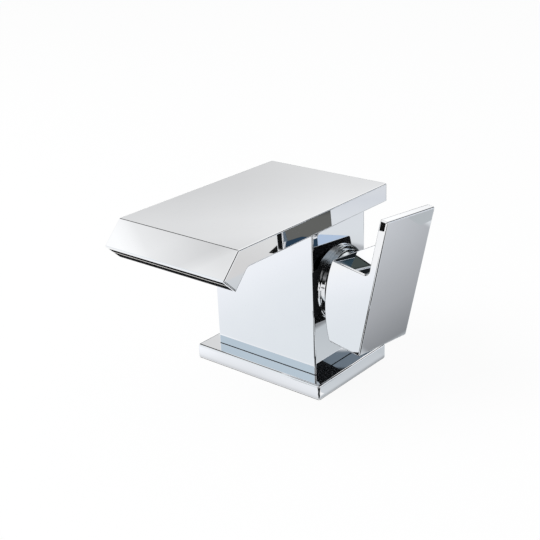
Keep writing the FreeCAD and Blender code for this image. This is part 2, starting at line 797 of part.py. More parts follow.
os.makedirs("parts", exist_ok=True)
for name, make in pieces.items():
    shape = make()
    shape.exportStep(f"parts/{name}.step")
    print(name, len(shape.Solids), shape.isValid(), round(shape.Volume, 1))
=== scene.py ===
# %% [markdown]
# A square basin mixer in polished chrome
#
# The CAD model already holds every rigid piece of this mixer, so Blender's work here is the finish:
# a camera, a small photo studio, and a material for each of the pieces. Polished chrome has almost
# no colour of its own. It looks like what stands round it, so the studio matters as much as the
# metal does.

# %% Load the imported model
import math

import bpy
from mathutils import Matrix, Vector


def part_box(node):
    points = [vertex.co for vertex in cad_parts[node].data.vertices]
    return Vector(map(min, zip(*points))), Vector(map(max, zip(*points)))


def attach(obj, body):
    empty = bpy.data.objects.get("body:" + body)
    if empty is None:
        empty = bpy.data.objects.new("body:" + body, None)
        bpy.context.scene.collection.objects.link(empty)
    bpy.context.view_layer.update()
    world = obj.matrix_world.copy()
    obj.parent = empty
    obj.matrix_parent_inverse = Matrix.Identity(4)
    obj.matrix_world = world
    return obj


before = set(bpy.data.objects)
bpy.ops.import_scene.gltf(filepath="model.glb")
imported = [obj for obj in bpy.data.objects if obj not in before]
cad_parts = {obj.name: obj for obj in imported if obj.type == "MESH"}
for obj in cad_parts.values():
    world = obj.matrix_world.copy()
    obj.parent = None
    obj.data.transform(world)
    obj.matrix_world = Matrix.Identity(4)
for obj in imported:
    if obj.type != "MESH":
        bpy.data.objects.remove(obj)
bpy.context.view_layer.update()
scene = bpy.context.scene

# %% [markdown]
# The camera
#
# The mixer is seen from the front right and a little above, through a long lens. The camera could be
# placed by hand until it looks right. Here its angles come from lining up the straight edges of the
# spout, the column and the base plate, so they are written down as angles and turned into a matrix.

# %% Camera
look_at = Vector((0.0, -0.016845, 0.060719))
look_distance = 0.57939
look_azimuth = math.radians(40.622)
look_elevation = math.radians(22.235)
look_roll = math.radians(-2.357)
lens_mm = 69.458
sensor_mm = 36.0

level_right = Vector((math.cos(look_azimuth), math.sin(look_azimuth), 0.0))
backwards = Vector((
    math.sin(look_azimuth) * math.cos(look_elevation),
    -math.cos(look_azimuth) * math.cos(look_elevation),
    math.sin(look_elevation),
))
level_up = backwards.cross(level_right)
rolled_right = level_right * math.cos(look_roll) + level_up * math.sin(look_roll)
rolled_up = level_up * math.cos(look_roll) - level_right * math.sin(look_roll)

camera_data = bpy.data.cameras.new("studio_camera")
camera_data.sensor_width = sensor_mm
camera_data.lens = lens_mm
camera_data.dof.use_dof = False
camera = bpy.data.objects.new("studio_camera", camera_data)
scene.collection.objects.link(camera)
turn = Matrix((rolled_right, rolled_up, backwards)).transposed().to_4x4()
camera.matrix_world = Matrix.Translation(look_at + backwards * look_distance) @ turn
scene.camera = camera
scene.view_settings.view_transform = "Standard"
print("camera at", [round(c, 4) for c in camera.matrix_world.translation])

# %% [markdown]
# Helpers for the node trees
#
# A material is a small machine of nodes. Writing each one out takes many lines that look alike, so a
# few helpers add a node with its values set, join two sockets and do one sum. A Mix node keeps its
# sockets for numbers and for colours side by side, so those are called by their place in the row.


# %% Node helpers
number_sides, number_result = (2, 3), 0
colour_sides, colour_result = (6, 7), 2


def add_node(tree, kind, **settings):
    """A node of that kind; a setting is one of its properties, or the value of an input socket."""
    node = tree.nodes.new("ShaderNode" + kind)
    for name, value in settings.items():
        if hasattr(node, name):
            setattr(node, name, value)
        else:
            node.inputs[name.replace("_", " ")].default_value = value
    return node


def join(tree, source, output, target, entry):
    tree.links.new(source.outputs[output], target.inputs[entry])


def maths(tree, operation, first, second=0.0):
    """One sum; each side is a number or a (node, output) pair."""
    node = add_node(tree, "Math", operation=operation)
    for slot, side in enumerate((first, second)):
        if isinstance(side, tuple):
            join(tree, side[0], side[1], node, slot)
        else:
            node.inputs[slot].default_value = side
    return node, 0


def new_material(name):
    material = bpy.data.materials.new(name)
    material.use_nodes = True
    material.node_tree.nodes.clear()
    return material, material.node_tree


print("node helpers ready")

# %% [markdown]
# The white surroundings
#
# The mixer stands in a white room. The world is plain white to the camera and to reflections, so the
# background is white and the chrome shows it. It gives less light than that to matt surfaces, because
# a large soft lamp adds the rest and a faint shadow.

# %% World and lamp
fill_level = 0.62
fill_colour = (0.97, 0.985, 1.0, 1.0)
plain_white = (1.0, 1.0, 1.0, 1.0)
lamp_watts = 18.0
lamp_place = Vector((-0.75, -0.85, 1.25))
lamp_size = 0.9


def shown_directly(tree):
    """One for a ray from the camera, a mirror or through glass, and zero for soft light."""
    path = add_node(tree, "LightPath")
    seen = maths(tree, "MAXIMUM", (path, "Is Camera Ray"), (path, "Is Glossy Ray"))
    return maths(tree, "MAXIMUM", seen, (path, "Is Transmission Ray"))


world = bpy.data.worlds.new("white_room")
world.use_nodes = True
room = world.node_tree
room.nodes.clear()
shown = add_node(room, "Background", Color=plain_white, Strength=1.0)
fill = add_node(room, "Background", Color=fill_colour, Strength=fill_level)
choose = add_node(room, "MixShader")
join(room, *shown_directly(room), choose, 0)
join(room, fill, 0, choose, 1)
join(room, shown, 0, choose, 2)
room_out = add_node(room, "OutputWorld")
join(room, choose, 0, room_out, "Surface")
scene.world = world

lamp_data = bpy.data.lights.new("soft_lamp", "AREA")
lamp_data.shape = "SQUARE"
lamp_data.size = lamp_size
lamp_data.energy = lamp_watts
lamp = bpy.data.objects.new("soft_lamp", lamp_data)
scene.collection.objects.link(lamp)
lamp_turn = (lamp_place - look_at).to_track_quat("Z", "Y").to_matrix().to_4x4()
lamp.matrix_world = Matrix.Translation(lamp_place) @ lamp_turn
lamp.visible_glossy = False
print("lamp at", [round(c, 2) for c in lamp_place])

# %% [markdown]
# The floor
#
# A plain white floor. Most of what the camera sees of it is an even white, and a small part is real
# white paint, which takes the mixer's shadow and keeps it faint.

# %% Floor
floor_size = 12.0
floor_drop = 0.0002
floor_evenness = 0.93
floor_colour = (0.94, 0.94, 0.94, 1.0)

bpy.ops.object.select_all(action="DESELECT")
bpy.ops.mesh.primitive_plane_add(size=floor_size, location=(0.0, 0.0, -floor_drop))
floor = bpy.context.object
floor.name = "white_floor"
floor_paint, tree = new_material("white_floor")
paint = add_node(tree, "BsdfDiffuse", Color=floor_colour)
glow = add_node(tree, "Emission", Color=plain_white, Strength=1.0)
even = maths(tree, "MULTIPLY", shown_directly(tree), floor_evenness)
blend = add_node(tree, "MixShader")
join(tree, *even, blend, 0)
join(tree, paint, 0, blend, 1)
join(tree, glow, 0, blend, 2)
floor_out = add_node(tree, "OutputMaterial")
join(tree, blend, 0, floor_out, "Surface")
floor.data.materials.append(floor_paint)
print("floor", floor_size, "m square")

# %% [markdown]
# A maker for cards and flags
#
# In an all-white room chrome would vanish. A photographer stands black flags and grey or tinted cards
# round it, out of the picture, and the flat faces then take their tones from them. Each card here is
# a plane that only mirrors can see, so it gives no light and no shadow. Its tones run along one side,
# can be shaded along the other, and fade out at the rim.


# %% Where a card can be
room_centre = Vector((0.0, -0.02, 0.06))


def standing(bearing, height_angle, reach):
    """Faces the mixer from a direction: bearing in degrees from +Y towards +X, and degrees up."""
    level = math.cos(math.radians(height_angle))
    place = room_centre + reach * Vector((
        math.sin(math.radians(bearing)) * level,
        math.cos(math.radians(bearing)) * level,
        math.sin(math.radians(height_angle)),
    ))
    return Matrix.Translation(place) @ (room_centre - place).to_track_quat("Z", "Y").to_matrix().to_4x4()


def upright(bearing, reach, sideways, rise):
    """Stands upright at a distance, square to that bearing and facing the mixer."""
    turned = Matrix.Rotation(-math.radians(bearing), 4, "Z")
    place = Matrix.Translation((sideways, reach, rise))
    return turned @ place @ Matrix.Rotation(math.radians(90.0), 4, "X")


def lying(x, y, rise, bearing=0):
    """Lies flat, with its length turned to that bearing."""
    return Matrix.Translation((x, y, rise)) @ Matrix.Rotation(-math.radians(bearing), 4, "Z")


print("cards face", [round(c, 3) for c in room_centre])


# %% Card maker
def soft_side(tree, where, axis, softness):
    """One inside the card, falling to zero over the outer part of that axis."""
    fade = add_node(tree, "MapRange", interpolation_type="SMOOTHSTEP",
                    From_Min=0.5 - softness, From_Max=0.5, To_Min=1.0, To_Max=0.0)
    join(tree, *maths(tree, "ABSOLUTE", (where, axis)), fade, "Value")
    return fade, 0


def ramp(tree, value, stops):
    """Tones between chosen stops, each a (place from 0 to 1, grey or colour) pair."""
    node = add_node(tree, "ValToRGB")
    elements = node.color_ramp.elements
    while len(elements) < len(stops):
        elements.new(0.5)
    for element, (place, tone) in zip(elements, stops):
        element.position = place
        element.color = (*tone, 1.0) if isinstance(tone, tuple) else (tone, tone, tone, 1.0)
    join(tree, *value, node, "Fac")
    return node, "Color"


def plain(tone):
    """The stops of a card that has one tone all over."""
    return [(0.0, tone), (1.0, tone)]


def make_card(name, matrix, size, tones, along="X", across=None, soft=(0.1, 0.1)):
    """A card that only mirrors see; tones run along X or Y, and across shades the other axis."""
    bpy.ops.object.select_all(action="DESELECT")
    bpy.ops.mesh.primitive_plane_add(size=1.0)
    card = bpy.context.object
    card.name = name
    card.matrix_world = matrix @ Matrix.Diagonal((*size, 1.0, 1.0))
    face, tree = new_material(name)
    spot = add_node(tree, "TexCoord")
    where = add_node(tree, "SeparateXYZ")
    join(tree, spot, "Object", where, 0)
    colour = ramp(tree, maths(tree, "ADD", (where, along), 0.5), tones)
    if across:
        other = "Y" if along == "X" else "X"
        greys = ramp(tree, maths(tree, "ADD", (where, other), 0.5), across)
        product = add_node(tree, "Mix", data_type="RGBA", blend_type="MULTIPLY")
        product.inputs[0].default_value = 1.0
        for entry, side in zip(colour_sides, (colour, greys)):
            join(tree, *side, product, entry)
        colour = product, colour_result
    rims = [soft_side(tree, where, axis, softness) for axis, softness in zip("XY", soft)]
    side = add_node(tree, "NewGeometry")
    front = maths(tree, "SUBTRACT", 1.0, (side, "Backfacing"))
    shade = add_node(tree, "Emission", Strength=1.0)
    join(tree, *colour, shade, "Color")
    clear = add_node(tree, "BsdfTransparent")
    cover = add_node(tree, "MixShader")
    join(tree, *maths(tree, "MULTIPLY", maths(tree, "MULTIPLY", *rims), front), cover, 0)
    join(tree, clear, 0, cover, 1)
    join(tree, shade, 0, cover, 2)
    card_out = add_node(tree, "OutputMaterial")
    join(tree, cover, 0, card_out, "Surface")
    card.data.materials.append(face)
    for ray in ("camera", "diffuse", "transmission", "volume_scatter", "shadow"):
        setattr(card, "visible_" + ray, False)
    print("card", name, "at", [round(c, 2) for c in card.matrix_world.translation])


print("card maker ready")

# %% [markdown]
# Walls, flags and screens
#
# The top of the spout mirrors a pale grey wall far behind, which is lighter on its right. The sloping
# lip mirrors a bright box on the left, which fades upwards. Black and blue-grey flags on both sides, in
# front and by the camera give the thin dark lines along the edges and the dark parts of the shroud. A
# grey-green screen behind the mixer comes back twice mirrored, from the back of the lever's plate to
# the spout's side.

# %% Walls
make_card(
    "back_wall", standing(bearing=-42, height_angle=20, reach=1.6), size=(1.4, 0.68), along="Y",
    tones=[(0.0, 0.62), (0.43, 0.725), (0.464, 0.75), (0.52, 0.815), (0.55, 0.85), (0.6, 0.855),
           (0.66, 0.78), (1.0, 0.74)],
    across=[(0.0, 0.9), (0.4, 0.945), (0.487, 0.985), (0.567, 1.055), (0.62, 1.1), (0.78, 1.13),
            (0.84, 1.3), (1.0, 1.3)],
)
make_card(
    "lip_box", standing(bearing=-120, height_angle=40, reach=1.3), size=(0.40, 0.50), along="Y",
    tones=[(0.0, 1.22), (0.33, 1.2), (0.37, 1.12), (0.407, 1.0), (0.459, 0.945), (0.511, 0.9),
           (0.562, 0.845), (0.62, 0.8), (1.0, 0.76)],
    across=[(0.0, 1.1), (0.2, 1.08), (0.25, 1.04), (0.27, 0.97), (0.3, 0.9), (0.33, 0.905),
            (0.402, 0.94), (0.461, 0.925), (1.0, 0.92)],
)
make_card(
    "front_wall", standing(bearing=-141, height_angle=25, reach=1.4), size=(0.62, 0.40),
    tones=[(0.0, (0.62, 0.72, 0.79)), (1.0, (0.58, 0.68, 0.76))], soft=(0.12, 0.15),
)
make_card(
    "high_card", standing(bearing=80, height_angle=58, reach=1.0), size=(1.0, 0.75),
    tones=[(0.0, (0.2, 0.22, 0.25)), (0.5, (0.3, 0.33, 0.36)), (1.0, (0.4, 0.42, 0.44))],
    soft=(0.12, 0.12),
)

# %% Flags
make_card(
    "right_flag", upright(bearing=36, reach=0.35, sideways=-0.02, rise=0.2275), size=(0.62, 0.125),
    tones=[(0.0, (0.75, 0.77, 0.8)), (0.2, (0.72, 0.75, 0.78)), (0.27, (0.55, 0.6, 0.65)),
           (0.34, (0.3, 0.36, 0.42)), (0.42, (0.2, 0.245, 0.29)), (0.6, (0.17, 0.21, 0.25)),
           (0.66, 0.02), (1.0, 0.02)],
    across=[(0.0, 1.0), (0.164, 1.0), (0.184, 0.06), (1.0, 0.06)], soft=(0.08, 0.05),
)
make_card(
    "ring_flag", upright(bearing=50, reach=0.35, sideways=0.0, rise=0.36), size=(0.16, 0.26),
    tones=[(0.0, 0.1), (0.7, 0.12), (0.93, 0.45), (1.0, 0.6)], soft=(0.03, 0.04),
)
make_card(
    "camera_flag", standing(bearing=124, height_angle=30, reach=0.9), size=(1.06, 0.98), along="Y",
    tones=[(0.0, 0.003), (0.2, 0.003), (0.34, 0.3), (0.45, 0.12), (0.55, 0.1), (0.62, 0.004),
           (1.0, 0.004)],
    soft=(0.08, 0.05),
)
make_card(
    "left_flag", standing(bearing=-78, height_angle=52, reach=1.4), size=(1.2, 0.95),
    tones=plain(0.02), soft=(0.1, 0.08),
)
make_card(
    "front_flag", standing(bearing=172, height_angle=22, reach=0.9), size=(0.62, 0.5),
    tones=plain(0.01), soft=(0.05, 0.05),
)
make_card(
    "low_flag", standing(bearing=175, height_angle=-1, reach=1.0), size=(1.0, 0.16),
    tones=plain(0.01), soft=(0.05, 0.08),
)

# %% Screens behind the mixer
make_card(
    "olive_screen", upright(bearing=0, reach=0.21, sideways=-0.29, rise=0.075), size=(0.70, 0.15),
    along="Y",
    tones=[(0.0, (0.07, 0.085, 0.08)), (0.13, (0.07, 0.085, 0.08)), (0.233, (0.15, 0.15, 0.14)),
           (0.333, (0.15, 0.15, 0.14)), (0.4, 0.005), (0.7, 0.005), (0.735, (0.03, 0.06, 0.1)),
           (1.0, (0.03, 0.06, 0.1))],
    soft=(0.04, 0.03),
)
make_card(
    "blue_screen", upright(bearing=0, reach=0.21, sideways=0.105, rise=0.05), size=(0.09, 0.10),
    along="Y", tones=[(0.0, (0.04, 0.075, 0.10)), (1.0, (0.03, 0.05, 0.07))], soft=(0.05, 0.08),
)
make_card(
    "blue_strip", standing(bearing=38, height_angle=0, reach=1.5), size=(0.9, 0.24),
    tones=plain((0.52, 0.64, 0.82)), soft=(0.1, 0.2),
)

# %% [markdown]
# Sheets on the table
#
# Upright faces mirror the table in front of them, and sheets paint shade on that table. A pale sheet lies
# in front of the column. A grey one beside the lever is painted shadow, darker near the mixer, and on it
# lies the lever's painted shadow. Two narrow sheets paint the contact shadow where the table meets the
# base plate, and one small shade is held up above the table. Sheets that overlap lie at three heights,
# so that the upper one is seen.

# %% Pale and grey sheets
sheet_rise = 0.0004
shade_rise = 0.0006
black_rise = 0.0008
held_up_rise = 0.04

make_card(
    "front_sheet", lying(-0.02, -0.1815, sheet_rise), size=(0.24, 0.297),
    tones=[(0.02, (1.0, 1.01, 1.03)), (0.167, (0.95, 0.97, 1.01)), (0.308, (0.88, 0.91, 0.945)),
           (0.458, (0.84, 0.875, 0.91)), (0.79, (0.81, 0.855, 0.885)), (1.0, (0.81, 0.855, 0.885))],
    soft=(0.05, 0.05),
)
# Painted shadow of the mixer on the table, darker near it.
make_card(
    "right_sheet", lying(0.24, 0.20, sheet_rise, bearing=40), size=(0.5, 0.62), along="Y",
    tones=[(0.0, (0.61, 0.64, 0.67)), (0.085, (0.60, 0.635, 0.66)), (0.14, (0.555, 0.59, 0.62)),
           (0.32, (0.71, 0.73, 0.75)), (0.416, (0.77, 0.8, 0.83)), (0.48, (0.775, 0.8, 0.835)),
           (0.545, (0.72, 0.745, 0.79)), (0.75, 0.85), (1.0, 1.0)],
    soft=(0.15, 0.05),
)
# The lever's painted shadow on the table, darkest by the lever.
make_card(
    "lever_shade", lying(0.125, 0.0935, shade_rise), size=(0.09, 0.163),
    tones=[(0.0, (0.23, 0.24, 0.25)), (0.061, (0.28, 0.29, 0.305)), (0.278, (0.41, 0.42, 0.44)),
           (0.578, (0.535, 0.55, 0.575)), (0.944, (0.71, 0.73, 0.765)), (1.0, (0.72, 0.74, 0.77))],
    across=[(0.0, 1.06), (0.11, 1.06), (0.28, 1.0), (0.518, 0.95), (0.767, 0.88), (0.95, 0.8),
            (1.0, 0.8)],
    soft=(0.05, 0.05),
)
make_card(
    "spout_sheet", lying(0.213, 0.105, shade_rise), size=(0.05, 0.11), along="Y",
    tones=[(0.0, (0.72, 0.71, 0.705)), (0.4, (0.725, 0.715, 0.71)), (0.8, (0.785, 0.785, 0.78)),
           (1.0, (0.785, 0.785, 0.78))],
    soft=(0.1, 0.12),
)
make_card(
    "plate_corner_shade", lying(0.1246, 0.1135, held_up_rise), size=(0.0104, 0.027),
    tones=plain((0.5, 0.53, 0.55)), soft=(0.06, 0.06),
)
# Painted contact shadows along the base plate's front and right side.
make_card(
    "front_contact_shadow", lying(-0.0105, -0.0386, shade_rise), size=(0.111, 0.0118), along="Y",
    tones=[(0.0, (0.89, 0.905, 0.935)), (0.5, (0.865, 0.88, 0.91)), (0.75, (0.825, 0.84, 0.865)),
           (0.88, (0.75, 0.76, 0.785)), (1.0, (0.61, 0.62, 0.64))],
    across=[(0.0, 1.25), (0.15, 1.16), (0.3, 1.06), (0.5, 1.02), (1.0, 1.04)], soft=(0.01, 0.01),
)
make_card(
    "right_contact_shadow", lying(0.049, -0.0008, shade_rise), size=(0.008, 0.065),
    tones=[(0.0, (0.34, 0.355, 0.37)), (0.1, (0.45, 0.47, 0.49)), (0.2, (0.57, 0.595, 0.62)),
           (0.35, (0.62, 0.65, 0.68)), (1.0, (0.6, 0.635, 0.66))],
    across=[(0.0, 1.12), (0.4, 1.04), (1.0, 1.0)], soft=(0.01, 0.01),
)

# %% [markdown]
# Strips for the edges
#
# A rounded edge sweeps its mirror image over a wide part of the table, squeezed into a thin line. Black
# strips in front of the near corners draw the dark lines along the upright edges of the column, the
# lever and the base plate. A small white one keeps a glint at the base plate's corner, and a blue-grey
# one lies far away, behind on the right. They differ only in place, size and tone, so they are a table.

# %% Strips
black = 0.008
white = 1.0
blue_grey = (0.16, 0.2, 0.24)
strips = [
    # name, x, y, rise, bearing, width and length, softness of the rims, tone
    ("camera_strip", 0.3555, -0.4475, sheet_rise, 0, (0.189, 0.305), (0.05, 0.04), black),
    ("front_strip", 0.23, -0.72, sheet_rise, 0, (0.3, 0.6), (0.05, 0.04), black),
    ("column_strip_near", -0.0005, -0.0830, black_rise, 40, (0.0168, 0.068), (0.04, 0.01), black),
    ("column_strip_mid", 0.0320, -0.0973, black_rise, 40, (0.037, 0.048), (0.04, 0.01), black),
    ("column_strip_far", 0.0035, -0.2326, black_rise, 32.3, (0.10, 0.285), (0.04, 0.04), black),
    ("corner_strip_front", 0.0479, -0.0717, black_rise, 41, (0.05, 0.055), (0.04, 0.04), black),
    ("corner_strip_foot", 0.0485, -0.0375, black_rise, 40, (0.009, 0.009), (0.02, 0.02), black),
    ("corner_strip_low", 0.0462, -0.0345, black_rise, 0, (0.0036, 0.004), (0.04, 0.04), black),
    ("corner_strip_side", 0.058, -0.0394, black_rise, 38, (0.020, 0.045), (0.06, 0.06), black),
    ("corner_glint", 0.0505, -0.0285, black_rise, 0, (0.008, 0.006), (0.1, 0.1), white),
    ("shroud_strip", 0.067, -0.008, black_rise, 0, (0.012, 0.034), (0.04, 0.04), black),
    ("lever_strip_near", 0.1315, -0.0385, black_rise, 0, (0.053, 0.067), (0.04, 0.04), black),
    ("lever_strip_far", 0.214, -0.084, black_rise, 0, (0.112, 0.158), (0.04, 0.04), black),
    ("lever_strip_edge", 0.1643, -0.1370, black_rise, 150.5, (0.04, 0.23), (0.02, 0.02), black),
    ("spout_strip", 0.1986, 0.1304, black_rise, 17.6, (0.010, 0.0205), (0.03, 0.03), black),
    ("far_shade", 0.36, 0.39, black_rise, 40, (0.2, 0.2), (0.05, 0.05), blue_grey),
]
for name, x, y, strip_rise, bearing, size, soft, tone in strips:
    make_card(name, lying(x, y, strip_rise, bearing), size, plain(tone), soft=soft)

# %% [markdown]
# Shared effects
#
# Polished metal is never a perfect mirror: buffing leaves it very slightly wavy, and handling leaves
# a faint haze. Turned metal has fine rings, drawn sheet has long lines, and moulded plastic and rubber
# have a grain. Each effect is a node group with named sockets, built once and placed in every material
# that shows it. All of them read Object coordinates, so the patterns keep their real size.


# %% Group helpers
def new_group(name, entries):
    """A node group with colour and number entries, which gives a colour, a roughness and a height."""
    group = bpy.data.node_groups.new(name, "ShaderNodeTree")
    for label, value in entries:
        kind = "NodeSocketColor" if value is None else "NodeSocketFloat"
        socket = group.interface.new_socket(label, in_out="INPUT", socket_type=kind)
        if value is not None:
            socket.default_value = value
    for label, kind in (("Colour", "Color"), ("Roughness", "Float"), ("Height", "Float")):
        group.interface.new_socket(label, in_out="OUTPUT", socket_type="NodeSocket" + kind)
    return group, group.nodes.new("NodeGroupInput"), group.nodes.new("NodeGroupOutput")


def noise(tree, where, scale, detail):
    """Cloudy noise read at a place; scale is a number or a (node, output) pair."""
    clouds = add_node(tree, "TexNoise", Detail=detail)
    join(tree, *where, clouds, "Vector")
    if isinstance(scale, tuple):
        join(tree, *scale, clouds, "Scale")
    else:
        clouds.inputs["Scale"].default_value = scale
    return clouds, 0


def stretched(tree, where, scale):
    """Object coordinates, drawn out or pressed together along each axis."""
    node = add_node(tree, "Mapping", Scale=scale)
    join(tree, *where, node, "Vector")
    return node, 0


def sharpen(tree, value, low, high):
    """Zero below low, one above high and a smooth step between."""
    node = add_node(tree, "MapRange", interpolation_type="SMOOTHSTEP", From_Min=low, From_Max=high)
    join(tree, *value, node, "Value")
    return node, 0


def between(tree, mask, first, second):
    """A number between two by a mask; each is a number or a (node, output) pair."""
    node = add_node(tree, "Mix", data_type="FLOAT")
    join(tree, *mask, node, 0)
    for entry, side in zip(number_sides, (first, second)):
        if isinstance(side, tuple):
            join(tree, *side, node, entry)
        else:
            node.inputs[entry].default_value = side
    return node, number_result


def tint(tree, mask, first, second):
    """A colour between two by a mask; each is three numbers or a (node, output) pair."""
    node = add_node(tree, "Mix", data_type="RGBA")
    join(tree, *mask, node, 0)
    for entry, colour in zip(colour_sides, (first, second)):
        if len(colour) == 2:
            join(tree, *colour, node, entry)
        else:
            node.inputs[entry].default_value = (*colour, 1.0)
    return node, colour_result


def average(tree, first, second):
    return maths(tree, "MULTIPLY", maths(tree, "ADD", first, second), 0.5)


def give(group, exits, mask, entries, height):
    """Ends a group: colour and roughness between its two of each by a mask, and a height."""
    join(group, *tint(group, mask, (entries, "Colour"), (entries, "Second Colour")), exits, "Colour")
    rough = between(group, mask, (entries, "Smoothest"), (entries, "Roughest"))
    join(group, *rough, exits, "Roughness")
    join(group, *height, exits, "Height")
    print("effect", group.name)


surface_entries = [("Colour", None), ("Second Colour", None), ("Smoothest", 0.02), ("Roughest", 0.06)]
print("group helpers ready")

# %% Polish and haze
wipe_stretch = (900.0, 220.0, 900.0)
ripple_scale = 45.0

polish_haze, entries, exits = new_group("polish_haze", surface_entries + [("Scale", 60.0)])
spot = add_node(polish_haze, "TexCoord"), "Object"
broad = noise(polish_haze, spot, (entries, "Scale"), 3.0)
wipes = noise(polish_haze, stretched(polish_haze, spot, wipe_stretch), 1.0, 2.0)
haze = sharpen(polish_haze, maths(polish_haze, "MULTIPLY", broad, wipes), 0.15, 0.42)
give(polish_haze, exits, haze, entries, noise(polish_haze, spot, ripple_scale, 1.0))

# %% Turning marks
cartridge_axis_height = 0.0565
wander_scale = 300.0
ring_wander = 0.0006
tarnish_scale = 140.0


def from_cartridge_axis(tree, place):
    """The square of the distance from the cartridge's axis."""
    rise = maths(tree, "SUBTRACT", (place, "Z"), cartridge_axis_height)
    return maths(tree, "ADD", maths(tree, "POWER", (place, "Y"), 2.0), maths(tree, "POWER", rise, 2.0))


turning_marks, entries, exits = new_group("turning_marks", surface_entries + [("Rings per Metre", 2500.0)])
spot = add_node(turning_marks, "TexCoord"), "Object"
place = add_node(turning_marks, "SeparateXYZ")
join(turning_marks, *spot, place, 0)
radius = maths(turning_marks, "SQRT", from_cartridge_axis(turning_marks, place))
along_cut = maths(turning_marks, "ADD", (place, "X"), radius)
wander = maths(turning_marks, "MULTIPLY", noise(turning_marks, spot, wander_scale, 2.0), ring_wander)
cut = maths(turning_marks, "ADD", along_cut, wander)
turns = maths(turning_marks, "MULTIPLY", cut, (entries, "Rings per Metre"))
grooves = maths(turning_marks, "PINGPONG", turns, 1.0)
tarnish = sharpen(turning_marks, noise(turning_marks, spot, tarnish_scale, 4.0), 0.35, 0.7)
give(turning_marks, exits, average(turning_marks, grooves, tarnish), entries, grooves)

# %% Drawn lines
line_stretch = (60.0, 2600.0, 2600.0)

drawn_lines, entries, exits = new_group("drawn_lines", surface_entries)
spot = add_node(drawn_lines, "TexCoord"), "Object"
lines = noise(drawn_lines, stretched(drawn_lines, spot, line_stretch), 1.0, 3.0)
give(drawn_lines, exits, sharpen(drawn_lines, lines, 0.3, 0.7), entries, lines)

# %% Moulded grain
cloud_scale = 90.0

moulded_grain, entries, exits = new_group("moulded_grain", surface_entries + [("Grain per Metre", 1800.0)])
spot = add_node(moulded_grain, "TexCoord"), "Object"
grain = noise(moulded_grain, spot, (entries, "Grain per Metre"), 3.0)
cloud = sharpen(moulded_grain, noise(moulded_grain, spot, cloud_scale, 3.0), 0.3, 0.7)
give(moulded_grain, exits, average(moulded_grain, grain, cloud), entries, grain)


# %% [markdown]
# A maker for finishes
#
# Every finish is one Principled shader fed by one of the effects, with a little bump from its height.
# A piece that has two finishes, such as a plated body with bare bores, or that has painted shade over its
# finish, gets a mask from Object coordinates or from the direction its faces point in, and the second
# finish or the painted shade is laid over the first.
# A direction is a number from -1 to 1 along each axis, and near either end a face is square on.


# %% Finish maker
bump_depth = 0.0002


def place_effect(tree, effect, colour, second, smoothest, roughest, **more):
    node = tree.nodes.new("ShaderNodeGroup")
    node.node_tree = effect
    node.inputs["Colour"].default_value = (*colour, 1.0)
    node.inputs["Second Colour"].default_value = (*second, 1.0)
    node.inputs["Smoothest"].default_value = smoothest
    node.inputs["Roughest"].default_value = roughest
    for label, value in more.items():
        node.inputs[label.replace("_", " ")].default_value = value
    return node


def finish(name, effect, colour, second, smoothest, roughest, metallic=1.0, bump=0.02, **more):
    """A material whose shader is fed by one effect."""
    material, tree = new_material(name)
    surface = add_node(tree, "BsdfPrincipled", Metallic=metallic)
    node = place_effect(tree, effect, colour, second, smoothest, roughest, **more)
    join(tree, node, "Colour", surface, "Base Color")
    join(tree, node, "Roughness", surface, "Roughness")
    relief = add_node(tree, "Bump", Strength=bump, Distance=bump_depth)
    join(tree, node, "Height", relief, "Height")
    join(tree, relief, "Normal", surface, "Normal")
    join(tree, surface, 0, add_node(tree, "OutputMaterial"), "Surface")
    return material


def dress(material, *nodes):
    """Gives the named CAD pieces that material."""
    for name in nodes:
        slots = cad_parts[name].data.materials
        slots.clear()
        slots.append(material)
    print(material.name, "on", ", ".join(nodes))


print("finish maker ready, bump depth", bump_depth)

# %% Second finishes, the painted shade coat and their masks
# Painted shade: a dull dark coat laid where shade falls on the chrome and on the blade.
painted_shade_colour = (0.014, 0.015, 0.017)
painted_shade_roughness = 0.8
painted_shade_shine = 0.1


def shader_of(tree):
    """The Principled shader of a finish."""
    return next(node for node in tree.nodes if node.type == "BSDF_PRINCIPLED")


def lay_over(material, mask, colour, roughness):
    """A second colour and roughness where the mask is one."""
    tree = material.node_tree
    surface = shader_of(tree)
    for entry, mix, second in (("Base Color", tint, colour), ("Roughness", between, roughness)):
        socket = surface.inputs[entry].links[0].from_socket
        first = socket.node, list(socket.node.outputs).index(socket)
        join(tree, *mix(tree, mask, first, second), surface, entry)


def lay_painted_shade(material, mask):
    """Painted shade: a dull dark coat, with no metal in it, where the mask is one."""
    lay_over(material, mask, painted_shade_colour, painted_shade_roughness)
    tree = material.node_tree
    surface = shader_of(tree)
    surface.inputs["Specular IOR Level"].default_value = painted_shade_shine
    join(tree, *between(tree, mask, 1.0, 0.0), surface, "Metallic")


def coordinates(tree, kind):
    """The X, Y and Z of a texture coordinate, as one node with three outputs."""
    parts = add_node(tree, "SeparateXYZ")
    join(tree, add_node(tree, "TexCoord"), kind, parts, 0)
    return parts


def under(tree, value, limit):
    return maths(tree, "LESS_THAN", value, limit)


def over(tree, value, limit):
    return maths(tree, "GREATER_THAN", value, limit)


def both(tree, *masks):
    """One where all the masks are one."""
    product = masks[0]
    for mask in masks[1:]:
        product = maths(tree, "MULTIPLY", product, mask)
    return product


def either(tree, *masks):
    """One where any of the masks is one."""
    largest = masks[0]
    for mask in masks[1:]:
        largest = maths(tree, "MAXIMUM", largest, mask)
    return largest


print("dull coat", painted_shade_colour)

